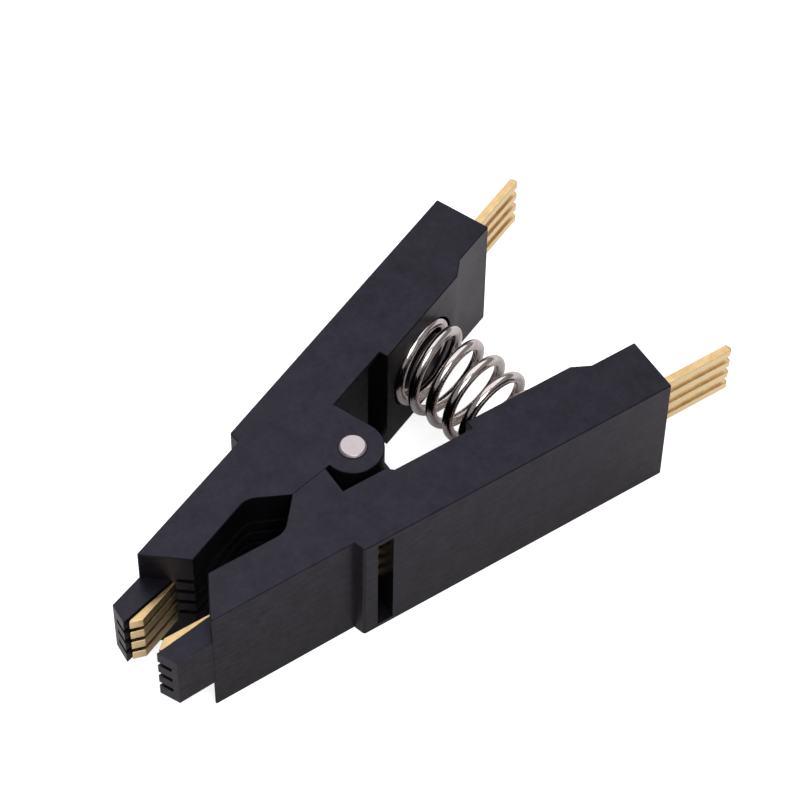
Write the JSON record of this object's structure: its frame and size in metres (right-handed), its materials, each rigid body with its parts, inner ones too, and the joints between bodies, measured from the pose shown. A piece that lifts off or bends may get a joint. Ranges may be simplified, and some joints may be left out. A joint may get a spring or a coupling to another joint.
{
  "type": "ic test clip",
  "caption": "Sprung test clip for small-outline chips: crossed moulded arms on a pin, a coil spring between the tails, gold contacts from the jaws to the tail pins.",
  "frame": {"origin": "pivot axis in the plane of the side face that the clip lies on", "axes": "+X from the pivot back to the tail pins, +Y to the upper arm's side, +Z along the pivot pin, away from the side face below"},
  "size_m": [0.0465, 0.023, 0.0108],
  "materials": {
    "body_plastic": "satin",
    "gold_plate": "polished",
    "pin_steel": "satin",
    "spring_nickel": "polished"
  },
  "bodies": {
    "lower_half": {"lower_arm": "body_plastic", "lower_contact_1": "gold_plate", "lower_contact_2": "gold_plate", "lower_contact_3": "gold_plate", "lower_contact_4": "gold_plate", "pivot_pin": "pin_steel", "spring": "spring_nickel"},
    "upper_half": {"upper_arm": "body_plastic", "upper_contact_1": "gold_plate", "upper_contact_2": "gold_plate", "upper_contact_3": "gold_plate", "upper_contact_4": "gold_plate"}
  },
  "joints": [
    {"name": "arm_pivot", "type": "hinge", "parent": "lower_half", "child": "upper_half", "pos_m": [0, 0, 0], "axis": [0, 0, -1], "range_deg": [0, 20], "stiffness_Nm_per_rad": 0.15, "springref_deg": -22.92, "deforming": ["spring"]}
  ]
}
